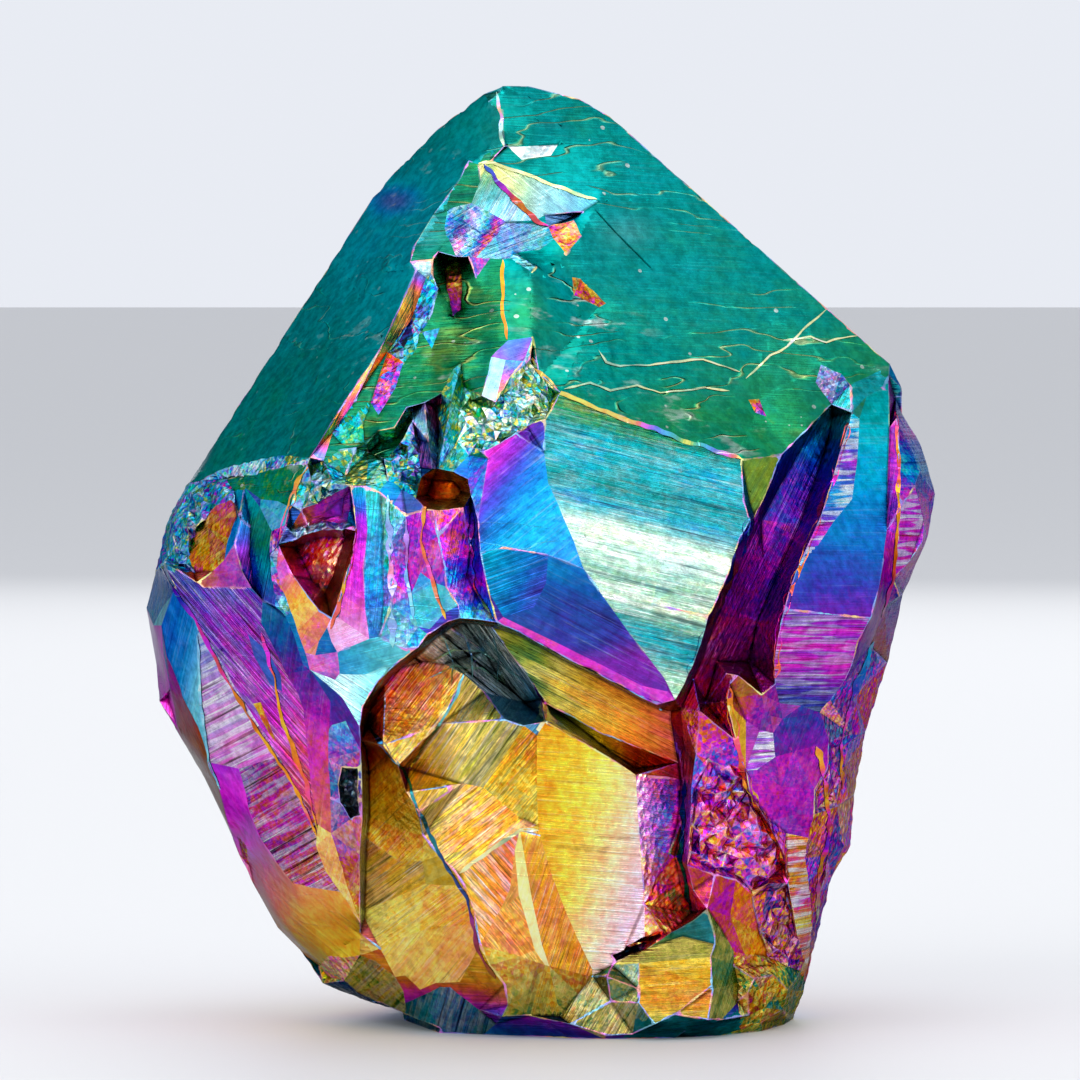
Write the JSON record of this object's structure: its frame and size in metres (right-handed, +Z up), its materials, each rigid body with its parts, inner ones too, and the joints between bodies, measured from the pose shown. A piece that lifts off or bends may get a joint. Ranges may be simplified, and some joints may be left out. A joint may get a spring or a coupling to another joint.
{
  "type": "aura amethyst crystal",
  "caption": "Broken quartz point with a metallic rainbow aura coating, a six-sided pointed tip, stepped and pitted sides and a flat base on which it stands upright.",
  "frame": {"origin": "bottom centre of the bounding box, on the surface that the crystal stands on", "axes": "+Z up towards the tip, -Y towards the broken and stepped front"},
  "size_m": [0.0804, 0.0614, 0.095],
  "materials": {
    "aura_coating": "glossy"
  },
  "bodies": {
    "root": {"crystal": "aura_coating"}
  },
  "joints": []
}
